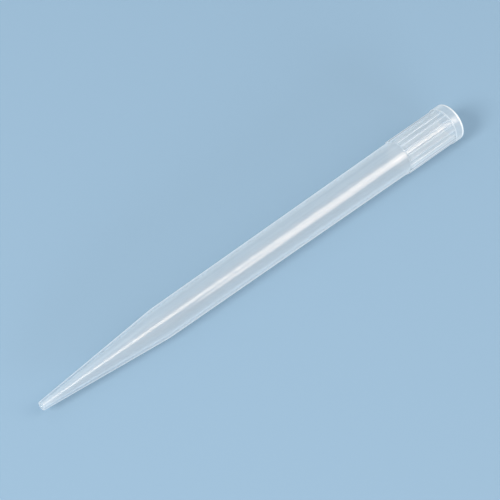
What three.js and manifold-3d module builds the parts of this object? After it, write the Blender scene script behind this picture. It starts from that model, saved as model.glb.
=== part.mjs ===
// A large-volume pipette tip: one thin-walled moulding in natural polypropylene.
// Units are millimetres. The tip lies on the plane z = 0, point towards -X and mouth towards +X.
// Heights in the profile are measured along the tip's own axis from its point.

import * as THREE from 'three';
import { mergeVertices } from 'three/addons/utils/BufferGeometryUtils.js';
import Module from 'manifold-3d';

const wasm = await Module();
wasm.setup();

// Lengths along the axis
const tipLength = 150;
const coneLength = 40.2;
const collarLength = 21;
const rimBandLength = 3;

// Point and shoulder
const pointRadius = 1.27;
const pointWall = 0.6;
const shoulderRadius = 4.6;
const barrelWall = 0.8;

// Socket that the pipette's nozzle is pushed into
const mouthRadius = 4.85;
const socketTaper = 0.25;
const socketDepth = 22.5;
const leadInDepth = 0.8;
const leadInWidth = 0.25;

// Collar round the socket
const collarWall = 0.49;
const collarStep = 0.1;
const ribHeight = 0.22;
const rimStep = 0.19;

// Ribs
const ribCount = 20;
const ribRootWidth = 0.95;
const ribTopWidth = 0.5;
const ribRootDepth = 0.3;

// Rounded edges
const pointEdge = 0.2;
const orificeEdge = 0.1;
const shoulderBlend = 30;
const collarFillet = 0.08;
const rimBandEdge = 0.15;
const rimEdge = 0.2;

// Fineness of the round surfaces
const segments = 48;
const arcStep = Math.PI / 8;

// Radii that follow from the sizes above
const orificeRadius = pointRadius - pointWall;
const socketEndRadius = mouthRadius - socketTaper;
const collarRadius = mouthRadius + collarWall;
const barrelTopRadius = collarRadius - collarStep;
const ribRadius = collarRadius + ribHeight;
const rimRadius = ribRadius + rimStep;

// Heights that follow from the sizes above
const collarStart = tipLength - collarLength;
const rimStart = tipLength - rimBandLength;
const socketEnd = tipLength - socketDepth;
const facetAngle = (2 * Math.PI) / segments;

// Points of an arc that rounds one corner of an outline, from the edge before to the edge after.
function roundedCorner(before, corner, after, rounding) {
  const back = before.clone().sub(corner).normalize();
  const onward = after.clone().sub(corner).normalize();
  const halfAngle = Math.acos(THREE.MathUtils.clamp(back.dot(onward), -1, 1)) / 2;
  const turn = Math.PI - 2 * halfAngle;
  const bisector = back.clone().add(onward).normalize();
  const centre = corner.clone().addScaledVector(bisector, rounding / Math.sin(halfAngle));
  const start = corner.clone().addScaledVector(back, rounding / Math.tan(halfAngle));
  const direction = Math.sign(onward.clone().cross(back));
  const steps = Math.max(2, Math.ceil(turn / arcStep));
  const points = [];
  for (let i = 0; i <= steps; i += 1) {
    points.push(start.clone().rotateAround(centre, (direction * turn * i) / steps));
  }
  return points;
}

// Closed outline through corners given as [radius, height, rounding].
function roundedOutline(corners) {
  const spots = corners.map(([radius, height]) => new THREE.Vector2(radius, height));
  const points = [];
  corners.forEach(([, , rounding], i) => {
    if (rounding > 0) {
      const after = spots[(i + 1) % spots.length];
      points.push(...roundedCorner(spots.at(i - 1), spots[i], after, rounding));
    } else {
      points.push(spots[i]);
    }
  });
  points.push(points[0].clone());
  return points;
}

// Half section of the moulding: up the outside, over the rim and down through the bore.
function wallOutline() {
  const outside = [
    [pointRadius, 0, pointEdge],
    [shoulderRadius, coneLength, shoulderBlend],
    [barrelTopRadius, collarStart, collarFillet],
    [collarRadius, collarStart, 0],
    [collarRadius, rimStart, 0],
    [rimRadius, rimStart, rimBandEdge],
    [rimRadius, tipLength, rimEdge],
  ];
  const inside = [
    [mouthRadius + leadInWidth, tipLength, 0],
    [mouthRadius, tipLength - leadInDepth, 0],
    [socketEndRadius, socketEnd, 0],
    [barrelTopRadius - barrelWall, socketEnd, 0],
    [shoulderRadius - barrelWall, coneLength, shoulderBlend],
    [orificeRadius, 0, orificeEdge],
  ];
  return roundedOutline([...outside, ...inside]);
}

function toSolid(geometry) {
  const bare = geometry.clone();
  bare.deleteAttribute('normal');
  bare.deleteAttribute('uv');
  const merged = mergeVertices(bare, 1e-5);
  const mesh = new wasm.Mesh({
    numProp: 3,
    vertProperties: merged.attributes.position.array,
    triVerts: new Uint32Array(merged.index.array),
  });
  return new wasm.Manifold(mesh);
}

function toGeometry(solid) {
  const mesh = solid.getMesh();
  const geometry = new THREE.BufferGeometry();
  geometry.setAttribute('position', new THREE.BufferAttribute(mesh.vertProperties, 3));
  geometry.setIndex(new THREE.BufferAttribute(mesh.triVerts, 1));
  geometry.computeVertexNormals();
  return geometry;
}

// The lathe turns about Y, with the middle of a facet straight below the axis.
function wallSolid() {
  return toSolid(new THREE.LatheGeometry(wallOutline(), segments, facetAngle / 2));
}

// One rib: a drafted bar from the foot of the collar into the rim band, rooted in the wall.
function ribSolid(angle) {
  const section = new THREE.Shape([
    new THREE.Vector2(collarRadius - ribRootDepth, -ribRootWidth / 2),
    new THREE.Vector2(ribRadius, -ribTopWidth / 2),
    new THREE.Vector2(ribRadius, ribTopWidth / 2),
    new THREE.Vector2(collarRadius - ribRootDepth, ribRootWidth / 2),
  ]);
  const depth = rimStart + rimBandLength / 4 - collarStart;
  const bar = new THREE.ExtrudeGeometry(section, { depth, bevelEnabled: false });
  bar.rotateX(-Math.PI / 2);
  bar.translate(0, collarStart, 0);
  bar.rotateY(angle);
  return toSolid(bar);
}

// The ribs straddle the lowest line of the collar, so the tip rests on two of them.
function tipGeometry() {
  const pitch = (2 * Math.PI) / ribCount;
  let solid = wallSolid();
  for (let i = 0; i < ribCount; i += 1) {
    solid = solid.add(ribSolid(pitch * (i + 0.5)));
  }
  return toGeometry(solid);
}

// Slope of the line that the lying tip rests on: from the shoulder to the collar or the rim.
function restingSlope() {
  const toCollar = (ribRadius - shoulderRadius) / (collarStart - coneLength);
  const toRim = (rimRadius - shoulderRadius) / (rimStart - coneLength);
  return Math.atan(Math.max(toCollar, toRim));
}

const naturalPolypropylene = new THREE.MeshStandardMaterial({
  color: 0xd9e4ec,
  roughness: 0.3,
  metalness: 0,
  transparent: true,
  opacity: 0.65,
});

const tip = new THREE.Mesh(tipGeometry(), naturalPolypropylene);
tip.name = 'pipette_tip';
tip.rotation.set(0, -restingSlope(), -Math.PI / 2);

// Origin: on the resting plane, under the middle of the lying tip.
const extent = new THREE.Box3().setFromObject(tip, true);
const middle = extent.getCenter(new THREE.Vector3());
tip.position.set(-middle.x, -middle.y, -extent.min.z);

const model = new THREE.Group();
model.add(tip);

export default model;
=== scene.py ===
"""A large-volume pipette tip in natural polypropylene, lying on a plain pale surface."""

import math
from types import SimpleNamespace

import bpy
from mathutils import Matrix, Vector


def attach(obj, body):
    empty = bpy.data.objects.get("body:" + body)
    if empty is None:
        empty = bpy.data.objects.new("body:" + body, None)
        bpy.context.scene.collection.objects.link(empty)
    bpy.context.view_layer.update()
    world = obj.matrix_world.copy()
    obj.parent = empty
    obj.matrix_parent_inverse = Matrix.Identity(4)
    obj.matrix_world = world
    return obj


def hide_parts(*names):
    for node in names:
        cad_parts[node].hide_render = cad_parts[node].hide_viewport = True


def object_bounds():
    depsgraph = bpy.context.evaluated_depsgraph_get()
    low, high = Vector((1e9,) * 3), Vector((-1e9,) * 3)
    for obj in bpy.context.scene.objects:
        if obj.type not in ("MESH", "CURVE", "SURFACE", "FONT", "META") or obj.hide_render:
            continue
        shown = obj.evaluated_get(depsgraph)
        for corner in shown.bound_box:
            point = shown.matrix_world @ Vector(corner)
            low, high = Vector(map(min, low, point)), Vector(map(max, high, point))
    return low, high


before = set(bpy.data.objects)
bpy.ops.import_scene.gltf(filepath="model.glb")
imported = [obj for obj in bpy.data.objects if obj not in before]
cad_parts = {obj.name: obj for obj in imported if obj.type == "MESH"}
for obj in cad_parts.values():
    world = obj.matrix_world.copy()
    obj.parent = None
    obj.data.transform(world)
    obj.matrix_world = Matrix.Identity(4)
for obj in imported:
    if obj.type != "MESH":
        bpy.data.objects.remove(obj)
cad_low, cad_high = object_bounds()

MM = 0.001

# Lengths along the tip's axis, from its point
TIP_LENGTH = 150 * MM
CONE_LENGTH = 40.2 * MM
COLLAR_START = TIP_LENGTH - 21 * MM
RIM_START = TIP_LENGTH - 3 * MM
SOCKET_END = TIP_LENGTH - 22.5 * MM
LEAD_IN_DEPTH = 0.8 * MM

# The small slope from the barrel up to the collar
SLOPE_FOOT = COLLAR_START - 0.1 * MM
SLOPE_TOP = COLLAR_START + 0.15 * MM

# Outer radii
POINT_RADIUS = 1.27 * MM
SHOULDER_RADIUS = 4.6 * MM
BARREL_TOP_RADIUS = 5.24 * MM
COLLAR_RADIUS = 5.34 * MM
RIB_RADIUS = 5.56 * MM
RIM_RADIUS = 5.75 * MM

# Inner radii
ORIFICE_RADIUS = 0.67 * MM
SHOULDER_BORE_RADIUS = 3.8 * MM
BARREL_BORE_RADIUS = 4.44 * MM
SOCKET_END_RADIUS = 4.6 * MM
MOUTH_RADIUS = 4.85 * MM
LEAD_IN_RADIUS = 5.1 * MM

# Roundings of the corners
POINT_ROUNDING = 0.2 * MM
ORIFICE_ROUNDING = 0.1 * MM
SHOULDER_BLEND = 30 * MM
COLLAR_ROUNDING = 0.3 * MM
STEP_ROUNDING = 0.05 * MM
BAND_ROUNDING = 0.15 * MM
RIM_ROUNDING = 0.2 * MM
LEAD_IN_ROUNDING = 0.08 * MM
MOUTH_ROUNDING = 0.3 * MM

# Ribs round the collar
RIB_COUNT = 20
RIB_ROOT_WIDTH = 0.8 * MM
RIB_TOP_WIDTH = 0.2 * MM

# Which part of the wall a stretch of the outline makes
IN_BORE = -1
PLAIN = 0
UNDER_RIBS = 1

# Fineness of the turned surface
SIDES = 24 * RIB_COUNT
ARC_STEP = math.radians(15)
LEAST_ARC_STEPS = 3
HOLD = 0.12 * MM
NUDGE = 1e-6
WELD_DISTANCE = 1e-6

# Stretches over which the plastic's look changes, as start and end from the point
ALONG_CONE = (0, CONE_LENGTH)
TOWARDS_POINT = (8 * MM, 0.5 * MM)
ONTO_COLLAR = (COLLAR_START - 0.5 * MM, COLLAR_START + 1.5 * MM)
TOWARDS_END = (TIP_LENGTH - 15 * MM, TIP_LENGTH - 9 * MM)
ONTO_BAND = (RIM_START - 0.1 * MM, RIM_START + 0.1 * MM)
PAST_LEDGE = (RIM_START + 0.1 * MM, RIM_START + 0.3 * MM)
TOWARDS_MOUTH = (TIP_LENGTH - 0.75 * MM, TIP_LENGTH - 0.4 * MM)

# How far the wall is turned away from the eye where its whitening starts and ends
TOWARDS_EDGE = (0.36, 0.86)
EVEN_BLEND = 0.5

# Share of milky plastic, and what each place adds to it
BASE_HAZE = 0.28
BARREL_HAZE = 0.03
POINT_HAZE = 0.13
EDGE_HAZE = 0.68
BORE_EDGE_LOSS = 0.35
COLLAR_HAZE = 0.2
RIB_HAZE = 0.1
SOLID_HAZE = 0.6
CLOUD_HAZE = 0.06
FLOW_HAZE = 0.05

# How solid the plastic looks where it is seen end on
MOUTH_SOLID = 0.75
LEDGE_SOLID = 0.35

# Share of the milky plastic that passes light on, and what solid plastic takes from it
GLOW_SHARE = 0.55
SOLID_GLOW_LOSS = 0.4

# Faint clouding and flow: how they are drawn out along the tip, and how fine they are
CLOUD_STRETCH = (0.35, 1, 1)
CLOUD_SCALE = 260
FLOW_STRETCH = (0.02, 1, 1)
FLOW_SCALE = 1500
NOISE_DETAIL = 2
NOISE_MIDDLE = 0.5

# The plastic's skin, and its body beneath
SKIN_IOR = 1.49
SKIN_ROUGHNESS = 0.035
BACK_SKIN = 0.25
RIB_SKIN_LOSS = 0.5
COLLAR_SKIN_LOSS = 0.4
BAND_SKIN_GAIN = 0.3
EDGE_SKIN_LOSS = 0.8
SLOPE_SKIN_LOSS = 0.5
BODY_IOR = 1.1
CLEAR_ROUGHNESS = 0.08
CLOUD_ROUGHNESS = 0.08
MILKY_ROUGHNESS = 0.6
CLEAR_COLOUR = (1, 1, 1, 1)
MILKY_COLOUR = (0.96, 0.99, 1, 1)

# What the wall lets through to the board
PASSING_COLOUR = (0.99, 0.99, 0.99, 1)
HELD_BACK_COLOUR = (0.1, 0.1, 0.1, 1)
OUTER_LOSS = 0.68
BORE_LOSS = 0.15
END_BORE_LOSS = 0.65

# Board
BOARD_REACH = 3.0
BOARD_COLOUR = (0.292, 0.449, 0.609, 1)
BOARD_ROUGHNESS = 0.9
BOARD_SHEEN = 0.2

# Lamps, with the direction that the tip's side mirrors to the camera, along the tip and across
MIRROR_ALONG = 0.4546
MIRROR_ACROSS = 0.8907
STREAK_DISTANCE = 1.6
STREAK_COLOUR = (1.0, 0.83, 0.7)
WARM_WHITE = (1.0, 0.92, 0.84)
COOL_WHITE = (0.97, 0.98, 1.0)
WHITE = (1.0, 1.0, 1.0)

# Light from all round
SKY_COLOUR = (0.7, 0.88, 1, 1)
SKY_STRENGTH = 0.33

# Camera
CAMERA_TURN = math.radians(42.7)
CAMERA_ELEVATION = math.radians(47.9)
CAMERA_DISTANCE = 0.6
CAMERA_LENS = 159.3
CAMERA_NEAR = 0.01
CAMERA_AIM = Vector((0.0, 2.71, 5.24)) * MM


class Wire:
    """A node's output, so that maths on it is written as an expression."""

    def __init__(self, graph, socket):
        self.graph = graph
        self.socket = socket

    def out(self, name):
        return Wire(self.graph, self.socket.node.outputs[name])

    def maths(self, operation, *others):
        sockets = dict(enumerate((self, *others)))
        return self.graph.add("ShaderNodeMath", {"operation": operation}, sockets)

    def __add__(self, other):
        return self.maths("ADD", other)

    def __radd__(self, other):
        return self + other

    def __mul__(self, other):
        return self.maths("MULTIPLY", other)

    def __rmul__(self, other):
        return self * other

    def __sub__(self, other):
        return self.maths("SUBTRACT", other)

    def __rsub__(self, other):
        return self * -1 + other

    def __truediv__(self, other):
        return self.maths("DIVIDE", other)

    def __rtruediv__(self, other):
        return self.maths("POWER", -1) * other


class Graph:
    """A node tree, with one way to add a node: its type, its settings, then its sockets."""

    def __init__(self, tree):
        self.tree = tree

    def add(self, kind, settings=None, sockets=None):
        node = self.tree.nodes.new(kind)
        for name, value in (settings or {}).items():
            setattr(node, name, value)
        for name, value in (sockets or {}).items():
            if isinstance(value, Wire):
                self.tree.links.new(value.socket, node.inputs[name])
            else:
                node.inputs[name].default_value = value
        return Wire(self, next(iter(node.outputs), None))


# --- the tip's outline ---------------------------------------------------------------


def rounded_corner(before, corner, after, rounding):
    """Points of the arc that rounds a corner of the outline."""
    back = (before - corner).normalized()
    onward = (after - corner).normalized()
    half = back.angle(onward) / 2
    turn = math.pi - 2 * half
    steps = max(LEAST_ARC_STEPS, math.ceil(turn / ARC_STEP))
    centre = corner + (back + onward).normalized() * (rounding / math.sin(half))
    start = corner + back * (rounding / math.tan(half))
    direction = math.copysign(1, onward.x * back.y - onward.y * back.x)
    arm = start - centre
    points = []
    for step in range(steps + 1):
        angle = direction * turn * step / steps
        cosine, sine = math.cos(angle), math.sin(angle)
        swung = Vector((arm.x * cosine - arm.y * sine, arm.x * sine + arm.y * cosine))
        points.append(centre + swung)
    return points


def held_run(start, end):
    """Two points just inside the ends of a straight run, which keep its shading straight."""
    run = end - start
    if run.length < 4 * HOLD:
        return []
    return [start + run.normalized() * HOLD, end - run.normalized() * HOLD]


def outline_corners():
    """The half section's sharp corners, each with its rounding and its part of the wall."""
    return [
        (0, POINT_RADIUS, POINT_ROUNDING, PLAIN),
        (CONE_LENGTH, SHOULDER_RADIUS, SHOULDER_BLEND, PLAIN),
        (SLOPE_FOOT, BARREL_TOP_RADIUS, COLLAR_ROUNDING, PLAIN),
        (SLOPE_TOP, COLLAR_RADIUS, COLLAR_ROUNDING, UNDER_RIBS),
        (RIM_START, COLLAR_RADIUS, STEP_ROUNDING, UNDER_RIBS),
        (RIM_START, RIM_RADIUS, BAND_ROUNDING, PLAIN),
        (TIP_LENGTH, RIM_RADIUS, RIM_ROUNDING, PLAIN),
        (TIP_LENGTH, LEAD_IN_RADIUS, LEAD_IN_ROUNDING, PLAIN),
        (TIP_LENGTH - LEAD_IN_DEPTH, MOUTH_RADIUS, MOUTH_ROUNDING, IN_BORE),
        (SOCKET_END, SOCKET_END_RADIUS, STEP_ROUNDING, IN_BORE),
        (SOCKET_END, BARREL_BORE_RADIUS, STEP_ROUNDING, IN_BORE),
        (CONE_LENGTH, SHOULDER_BORE_RADIUS, SHOULDER_BLEND, IN_BORE),
        (0, ORIFICE_RADIUS, ORIFICE_ROUNDING, IN_BORE),
    ]


def outline_points():
    """The wall's closed half section, as points of height, radius and part of the wall."""
    corners = outline_corners()
    spots = [Vector((height, radius)) for height, radius, _, _ in corners]
    arcs = []
    for i, (_, _, rounding, _) in enumerate(corners):
        after = spots[(i + 1) % len(spots)]
        arcs.append(rounded_corner(spots[i - 1], spots[i], after, rounding))
    points = []
    for i, (_, _, _, side) in enumerate(corners):
        run = held_run(arcs[i][-1], arcs[(i + 1) % len(arcs)][0])
        points += [(point.x, point.y, side) for point in arcs[i] + run]
    points.append(points[0])
    return points


def outline_object():
    mesh = bpy.data.meshes.new("outline")
    points = outline_points()
    mesh.from_pydata(points, [(i, i + 1) for i in range(len(points) - 1)], [])
    outline = bpy.data.objects.new("outline", mesh)
    bpy.context.collection.objects.link(outline)
    return outline


# --- the tip as a turned surface -----------------------------------------------------


def add_tree_sockets(tree):
    """The inputs and the output of the turning tree."""
    interface = tree.interface
    interface.new_socket("Geometry", in_out="INPUT", socket_type="NodeSocketGeometry")
    interface.new_socket("Sides", in_out="INPUT", socket_type="NodeSocketInt")
    interface.new_socket("Rib Count", in_out="INPUT", socket_type="NodeSocketInt")
    for name in ("Rib Height", "Rib Radius", "Rib Root Width", "Rib Top Width", "Lean"):
        interface.new_socket(name, in_out="INPUT", socket_type="NodeSocketFloat")
    interface.new_socket("Material", in_out="INPUT", socket_type="NodeSocketMaterial")
    interface.new_socket("Geometry", in_out="OUTPUT", socket_type="NodeSocketGeometry")


def rib_rise(graph, turn, given):
    """How far up a rib each place round the collar is: 0 between ribs and 1 on their tops."""
    rib_count = given.out("Rib Count")
    from_rib = ((turn * rib_count).maths("FRACT") - 0.5).maths("ABSOLUTE")
    from_rib = from_rib / rib_count * math.tau * given.out("Rib Radius")
    return graph.add(
        "ShaderNodeMapRange",
        {"interpolation_type": "SMOOTHSTEP"},
        {
            "Value": from_rib,
            "From Min": given.out("Rib Root Width") / 2,
            "From Max": given.out("Rib Top Width") / 2,
        },
    )


def outline_spot(graph, outline, row):
    """The outline's point for each row of the grid."""
    sockets = {0: outline, "Value": graph.add("GeometryNodeInputPosition"), "Index": row}
    spot = graph.add("GeometryNodeSampleIndex", {"data_type": "FLOAT_VECTOR"}, sockets)
    return graph.add("ShaderNodeSeparateXYZ", sockets={0: spot})


def turning_tree():
    """Geometry Nodes that turn an outline about the X axis and raise the ribs."""
    tree = bpy.data.node_groups.new("turned_wall", "GeometryNodeTree")
    add_tree_sockets(tree)
    graph = Graph(tree)
    given = graph.add("NodeGroupInput")
    outline, sides = given.out("Geometry"), given.out("Sides")

    rows = graph.add("GeometryNodeAttributeDomainSize", sockets={"Geometry": outline})
    columns = sides + 1
    sockets = {"Vertices X": rows.out("Point Count"), "Vertices Y": columns}
    grid = graph.add("GeometryNodeMeshGrid", sockets=sockets)
    index = graph.add("GeometryNodeInputIndex")
    row = (index / columns + NUDGE).maths("FLOOR")
    column = index - row * columns

    spot = outline_spot(graph, outline, row)
    height, radius, side = spot.out("X"), spot.out("Y"), spot.out("Z")
    in_bore = side.maths("LESS_THAN", (IN_BORE + PLAIN) / 2)
    under_ribs = side.maths("GREATER_THAN", (UNDER_RIBS + PLAIN) / 2)
    turn = column / sides
    rise = rib_rise(graph, turn, given)
    radius = radius + rise * under_ribs * given.out("Rib Height")

    angle = turn * math.tau
    across, up = radius * angle.maths("SINE"), radius * angle.maths("COSINE")
    place = graph.add("ShaderNodeCombineXYZ", sockets={"X": height, "Y": across, "Z": up})
    wall = graph.add("GeometryNodeSetPosition", sockets={0: grid.out("Mesh"), "Position": place})
    for name, value in (("bore", in_bore), ("rib", rise), ("height", height)):
        sockets = {"Geometry": wall, "Name": name, "Value": value}
        wall = graph.add("GeometryNodeStoreNamedAttribute", {"data_type": "FLOAT"}, sockets)
    sockets = {0: wall, "Distance": WELD_DISTANCE}
    wall = graph.add("GeometryNodeMergeByDistance", sockets=sockets)
    lean = graph.add("ShaderNodeCombineXYZ", sockets={"Y": given.out("Lean") * -1})
    wall = graph.add("GeometryNodeTransform", sockets={"Geometry": wall, "Rotation": lean})
    wall = graph.add("GeometryNodeSetShadeSmooth", sockets={0: wall})
    wall = graph.add("GeometryNodeRealizeInstances", sockets={0: wall})
    sockets = {0: wall, "Material": given.out("Material")}
    wall = graph.add("GeometryNodeSetMaterial", sockets=sockets)
    graph.add("NodeGroupOutput", sockets={0: wall})
    return tree


def resting_lean():
    """Slope of the axis when the tip lies on its shoulder and its collar or rim."""
    to_collar = (RIB_RADIUS - SHOULDER_RADIUS) / (COLLAR_START - CONE_LENGTH)
    to_rim = (RIM_RADIUS - SHOULDER_RADIUS) / (RIM_START - CONE_LENGTH)
    return math.atan(max(to_collar, to_rim))


def plain_mesh(source, tree, values, name):
    """The mesh that a Geometry Nodes tree makes of an object, as a new plain object."""
    modifier = source.modifiers.new("nodes", "NODES")
    modifier.node_group = tree
    for item in tree.interface.items_tree:
        if item.in_out == "INPUT" and item.name in values:
            modifier[item.identifier] = values[item.name]
    evaluated = source.evaluated_get(bpy.context.evaluated_depsgraph_get())
    mesh = bpy.data.meshes.new_from_object(evaluated)
    source.modifiers.remove(modifier)
    bpy.data.objects.remove(source)
    mesh.name = name
    piece = bpy.data.objects.new(name, mesh)
    bpy.context.collection.objects.link(piece)
    return piece


def seat_on_frame(piece):
    """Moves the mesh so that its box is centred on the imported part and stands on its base."""
    corners = [Vector(corner) for corner in piece.bound_box]
    low = Vector(map(min, *corners))
    high = Vector(map(max, *corners))
    shift = (cad_low + cad_high) / 2 - (low + high) / 2
    shift.z = cad_low.z - low.z
    for vertex in piece.data.vertices:
        vertex.co += shift


def moulded_tip(material):
    values = {
        "Sides": SIDES,
        "Rib Count": RIB_COUNT,
        "Rib Height": RIB_RADIUS - COLLAR_RADIUS,
        "Rib Radius": RIB_RADIUS,
        "Rib Root Width": RIB_ROOT_WIDTH,
        "Rib Top Width": RIB_TOP_WIDTH,
        "Lean": resting_lean(),
        "Material": material,
    }
    tip = plain_mesh(outline_object(), turning_tree(), values, "moulded_tip")
    seat_on_frame(tip)
    return tip


# --- materials -----------------------------------------------------------------------


def new_material(name):
    material = bpy.data.materials.new(name)
    material.use_nodes = True
    material.node_tree.nodes.clear()
    return material, Graph(material.node_tree)


def stored(graph, name):
    """A value that the turned wall carries."""
    return graph.add("ShaderNodeAttribute", {"attribute_name": name}).out("Fac")


def smooth_step(graph, value, span):
    """0 up to the span's start, 1 past its end, and an eased ramp between."""
    start, end = span
    sockets = {"Value": value, "From Min": start, "From Max": end}
    return graph.add("ShaderNodeMapRange", {"interpolation_type": "SMOOTHSTEP"}, sockets)


def drawn_noise(graph, stretch, scale):
    """Soft noise about 0, drawn out along the tip."""
    spot = graph.add("ShaderNodeTexCoord").out("Object")
    spot = graph.add("ShaderNodeVectorMath", {"operation": "MULTIPLY"}, {0: spot, 1: stretch})
    sockets = {"Vector": spot, "Scale": scale, "Detail": NOISE_DETAIL}
    return graph.add("ShaderNodeTexNoise", sockets=sockets) - NOISE_MIDDLE


def wall_places(graph):
    """How far each spot of the wall belongs to each part of the tip, from 0 to 1."""
    bore = stored(graph, "bore")
    height = stored(graph, "height")
    facing = graph.add("ShaderNodeLayerWeight", sockets={"Blend": EVEN_BLEND}).out("Facing")
    outside = 1 - graph.add("ShaderNodeNewGeometry").out("Backfacing")
    collar = smooth_step(graph, height, ONTO_COLLAR)
    band = smooth_step(graph, height, ONTO_BAND)
    mouth = smooth_step(graph, height, TOWARDS_MOUTH)
    ledge = band - smooth_step(graph, height, PAST_LEDGE)
    return SimpleNamespace(
        bore=bore,
        outer=1 - bore,
        outside=outside,
        barrel=smooth_step(graph, height, ALONG_CONE),
        point=smooth_step(graph, height, TOWARDS_POINT),
        collar=collar,
        band=band,
        end=smooth_step(graph, height, TOWARDS_END),
        edge=smooth_step(graph, facing, TOWARDS_EDGE),
        rib=stored(graph, "rib") * (collar - band),
        solid=(mouth * MOUTH_SOLID + ledge * LEDGE_SOLID) * (1 - bore),
    )


def milkiness(graph, at, cloud):
    """Share of milky plastic, which grows at the edges, point, collar, ribs, ledge and mouth."""
    haze = BASE_HAZE + at.barrel * BARREL_HAZE + at.point * POINT_HAZE
    haze = haze + at.edge * (1 - at.bore * BORE_EDGE_LOSS) * EDGE_HAZE
    haze = haze + at.collar * COLLAR_HAZE + at.rib * at.outer * RIB_HAZE
    haze = haze + at.solid * SOLID_HAZE + cloud * CLOUD_HAZE
    return haze + drawn_noise(graph, FLOW_STRETCH, FLOW_SCALE) * FLOW_HAZE


def skin_gloss(at):
    """Gloss of the skin: full where the eye looks inward through it, less on edges and ribs."""
    inward = at.outside * at.outer + (1 - at.outside) * at.bore
    # 1 half-way up a rib's side, and 0 on its top and between the ribs
    slope = at.rib * (1 - at.rib) * 4
    in_bore = at.rib * RIB_SKIN_LOSS + at.collar * COLLAR_SKIN_LOSS - at.band * BAND_SKIN_GAIN
    gloss = BACK_SKIN + inward * (1 - BACK_SKIN)
    gloss = gloss * (1 - at.bore * in_bore) * (1 - at.edge * EDGE_SKIN_LOSS)
    return gloss * (1 - slope * at.outer * SLOPE_SKIN_LOSS)


def plastic_body(graph, at):
    """Clear and milky plastic, mixed, under one glossy skin."""
    cloud = drawn_noise(graph, CLOUD_STRETCH, CLOUD_SCALE)
    skin = {
        "Coat Weight": skin_gloss(at),
        "Coat IOR": SKIN_IOR,
        "Coat Roughness": SKIN_ROUGHNESS,
        "IOR": BODY_IOR,
    }
    rough = CLEAR_ROUGHNESS + cloud * CLOUD_ROUGHNESS
    clear = {**skin, "Base Color": CLEAR_COLOUR, "Roughness": rough, "Transmission Weight": 1.0}
    clear = graph.add("ShaderNodeBsdfPrincipled", sockets=clear)
    milky = {**skin, "Base Color": MILKY_COLOUR, "Roughness": MILKY_ROUGHNESS}
    milky = graph.add("ShaderNodeBsdfPrincipled", sockets=milky)
    glow = graph.add("ShaderNodeBsdfTranslucent", sockets={"Color": MILKY_COLOUR})
    share = GLOW_SHARE - at.solid * SOLID_GLOW_LOSS
    cloudy = graph.add("ShaderNodeMixShader", sockets={0: share, 1: milky, 2: glow})
    haze = milkiness(graph, at, cloud) * at.outside
    return graph.add("ShaderNodeMixShader", sockets={0: haze, 1: clear, 2: cloudy})


def natural_polypropylene():
    """Milky, see-through moulded plastic with a smooth skin, which casts a light shadow."""
    material, graph = new_material("natural_polypropylene")
    at = wall_places(graph)
    body = plastic_body(graph, at)

    path = graph.add("ShaderNodeLightPath")
    shadow = path.out("Is Shadow Ray")
    passing = shadow.maths("MAXIMUM", path.out("Is Diffuse Ray"))
    through = graph.add("ShaderNodeBsdfTransparent", sockets={"Color": PASSING_COLOUR})
    held_back = graph.add("ShaderNodeBsdfTransparent", sockets={"Color": HELD_BACK_COLOUR})
    loss = at.outer * OUTER_LOSS + at.bore * (BORE_LOSS + at.end * END_BORE_LOSS)
    loss = loss * at.outside * shadow
    both = graph.add("ShaderNodeMixShader", sockets={0: passing, 1: body, 2: through})
    both = graph.add("ShaderNodeMixShader", sockets={0: loss, 1: both, 2: held_back})
    graph.add("ShaderNodeOutputMaterial", sockets={"Surface": both})
    return material


def pale_blue_board():
    """Plain matt board in pale blue."""
    material, graph = new_material("pale_blue_board")
    sockets = {
        "Base Color": BOARD_COLOUR,
        "Roughness": BOARD_ROUGHNESS,
        "Specular IOR Level": BOARD_SHEEN,
    }
    shader = graph.add("ShaderNodeBsdfPrincipled", sockets=sockets)
    graph.add("ShaderNodeOutputMaterial", sockets={"Surface": shader})
    return material


# --- surroundings --------------------------------------------------------------------


def floor():
    mesh = bpy.data.meshes.new("floor")
    sides = ((-1, -1), (1, -1), (1, 1), (-1, 1))
    corners = [(x * BOARD_REACH, y * BOARD_REACH, cad_low.z) for x, y in sides]
    mesh.from_pydata(corners, [], [(0, 1, 2, 3)])
    mesh.materials.append(pale_blue_board())
    board = bpy.data.objects.new("floor", mesh)
    bpy.context.collection.objects.link(board)


def area_lamp(name, shape, size, power, colour):
    data = bpy.data.lights.new(name, "AREA")
    data.shape = shape
    data.size, data.size_y = size
    data.energy = power
    data.color = colour
    lamp = bpy.data.objects.new(name, data)
    bpy.context.collection.objects.link(lamp)
    return lamp


def soft_light(name, place, size, power, colour):
    """A soft lamp that points at the board beneath the tip's middle."""
    lamp = area_lamp(name, "RECTANGLE", size, power, colour)
    lamp.location = place
    lamp.rotation_euler = (-place).to_track_quat("-Z", "Y").to_euler()


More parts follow.
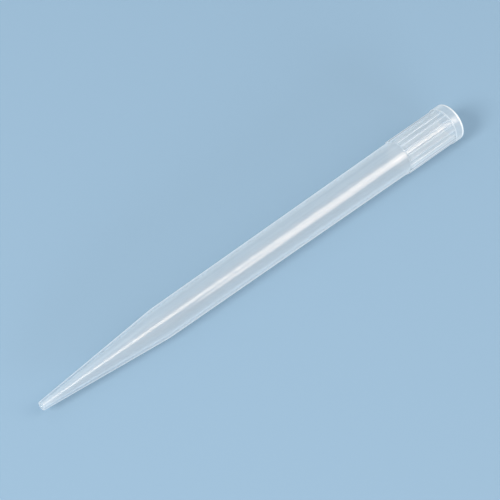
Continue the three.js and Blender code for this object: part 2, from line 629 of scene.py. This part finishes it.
def mirrored_light(name, reach, tilt, size, radiance, roll, shape):
    """A soft lamp that the tip's side mirrors to the camera as a streak."""
    slope = math.radians(tilt)
    up = MIRROR_ACROSS * math.cos(slope)
    out = Vector((MIRROR_ALONG, -MIRROR_ACROSS * math.sin(slope), up))
    down = Vector((0, -math.cos(slope), -math.sin(slope)))
    side = down.cross(out)
    turn = Matrix.Rotation(math.radians(roll), 3, out)
    side, down = turn @ side, turn @ down
    fill = math.pi / 4 if shape == "ELLIPSE" else 1
    power = radiance * math.pi * size[0] * size[1] * fill
    lamp = area_lamp(name, shape, size, power, STREAK_COLOUR)
    lamp.matrix_world = Matrix((side, down, out)).transposed().to_4x4()
    centre = out * STREAK_DISTANCE
    centre.x = reach
    lamp.location = centre


def lights():
    soft_light(
        "left",
        place=Vector((-0.77, -0.1, 0.6)) * 1.8,
        size=(0.6, 0.6),
        power=25.4,
        colour=WARM_WHITE,
    )
    soft_light(
        "low",
        place=Vector((-0.25, -0.95, 0.14)) * 5,
        size=(3.1, 1.25),
        power=181,
        colour=COOL_WHITE,
    )
    soft_light(
        "top",
        place=Vector((-0.1, 0.4, 0.8)) * 0.9,
        size=(0.5, 0.5),
        power=0.8,
        colour=WHITE,
    )
    mirrored_light(
        "streak",
        reach=0.586,
        tilt=31,
        size=(0.888, 0.55),
        radiance=4.5,
        roll=-4,
        shape="RECTANGLE",
    )
    mirrored_light(
        "streak_wide",
        reach=0.83,
        tilt=52.3,
        size=(0.43, 0.67),
        radiance=5.1,
        roll=-14,
        shape="ELLIPSE",
    )


def surroundings():
    world = bpy.data.worlds.new("studio")
    world.use_nodes = True
    world.node_tree.nodes.clear()
    graph = Graph(world.node_tree)
    sockets = {"Color": SKY_COLOUR, "Strength": SKY_STRENGTH}
    sky = graph.add("ShaderNodeBackground", sockets=sockets)
    graph.add("ShaderNodeOutputWorld", sockets={"Surface": sky})
    bpy.context.scene.world = world


def camera():
    data = bpy.data.cameras.new("camera")
    data.lens = CAMERA_LENS
    data.clip_start = CAMERA_NEAR
    eye = bpy.data.objects.new("camera", data)
    level = math.cos(CAMERA_ELEVATION)
    away = Vector((math.sin(CAMERA_TURN), math.cos(CAMERA_TURN), 0)) * level
    away.z = -math.sin(CAMERA_ELEVATION)
    eye.location = CAMERA_AIM - away * CAMERA_DISTANCE
    eye.rotation_euler = away.to_track_quat("-Z", "Y").to_euler()
    bpy.context.collection.objects.link(eye)
    bpy.context.scene.camera = eye


bpy.context.scene.view_settings.view_transform = "Standard"
camera()
tip = moulded_tip(natural_polypropylene())
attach(tip, "root")
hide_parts("pipette_tip")
floor()
lights()
surroundings()
